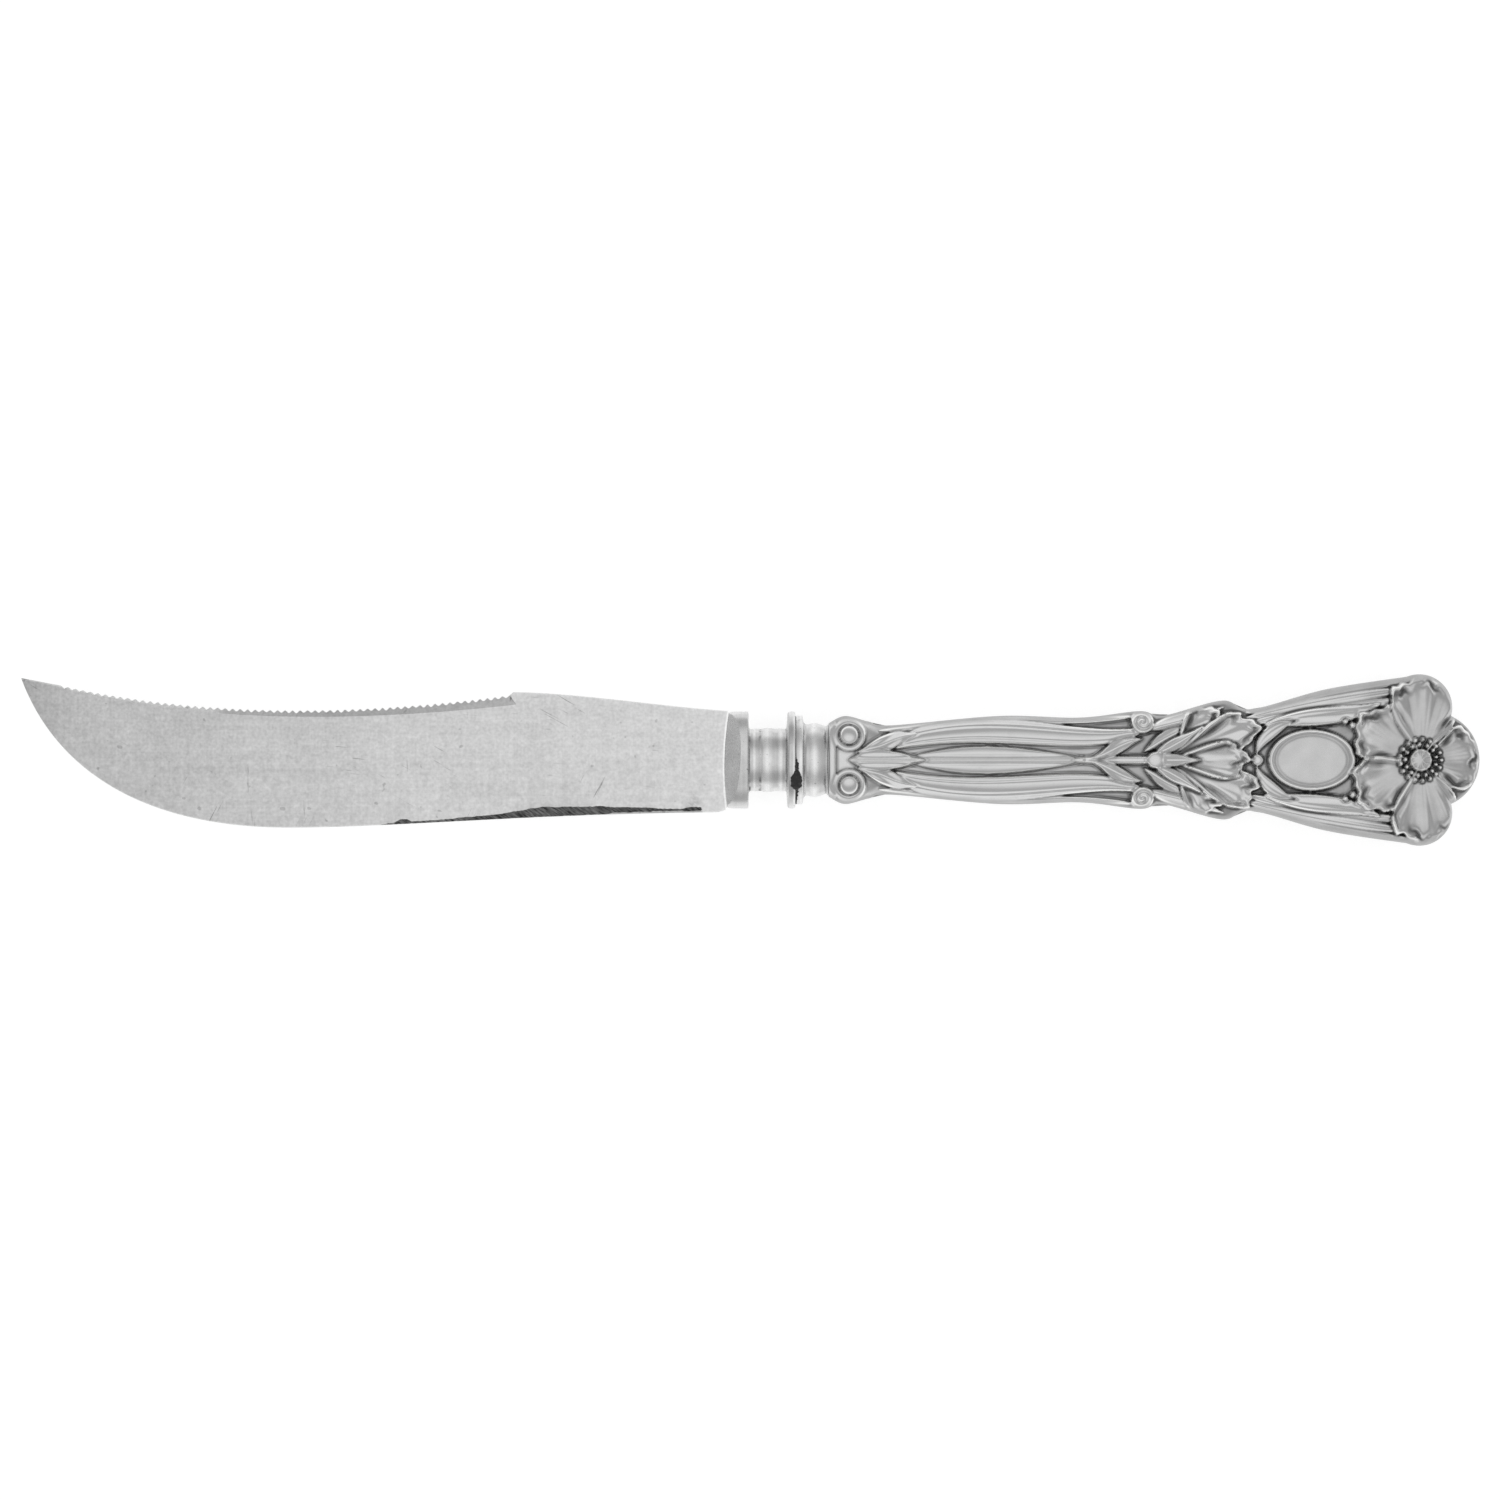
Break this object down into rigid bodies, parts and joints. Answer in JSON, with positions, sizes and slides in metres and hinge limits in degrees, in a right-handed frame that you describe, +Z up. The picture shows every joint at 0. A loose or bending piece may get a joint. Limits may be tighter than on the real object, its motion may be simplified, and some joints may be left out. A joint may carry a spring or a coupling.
{
  "type": "fruit knife",
  "caption": "Silver fruit knife with an upswept, saw-backed plated blade, a beaded bolster and a hollow handle struck with flower relief.",
  "frame": {"origin": "under the middle of the knife's box, on the plane that the back of the handle lies on", "axes": "+X from the blade's tip to the handle's end, +Y towards the saw-toothed back of the blade, +Z up, out of the front of the handle"},
  "size_m": [0.1802, 0.0212, 0.0094],
  "materials": {
    "plated_blade": "silver plate, softly scratched satin, worn dark along the cutting edge",
    "bolster_silver": "bright silver plate with light tarnish in the grooves",
    "handle_silver": "polished silver with oxidised dark recesses",
    "solder": "dull filed solder",
    "cement": "hard black pitch cement"
  },
  "bodies": {
    "root": {"blade": "plated_blade", "bolster": "bolster_silver", "joint_cement": "cement", "ferrule": "handle_silver", "handle_front": "handle_silver", "handle_back": "handle_silver", "seam_solder": "solder", "cement_core": "cement"}
  },
  "joints": []
}
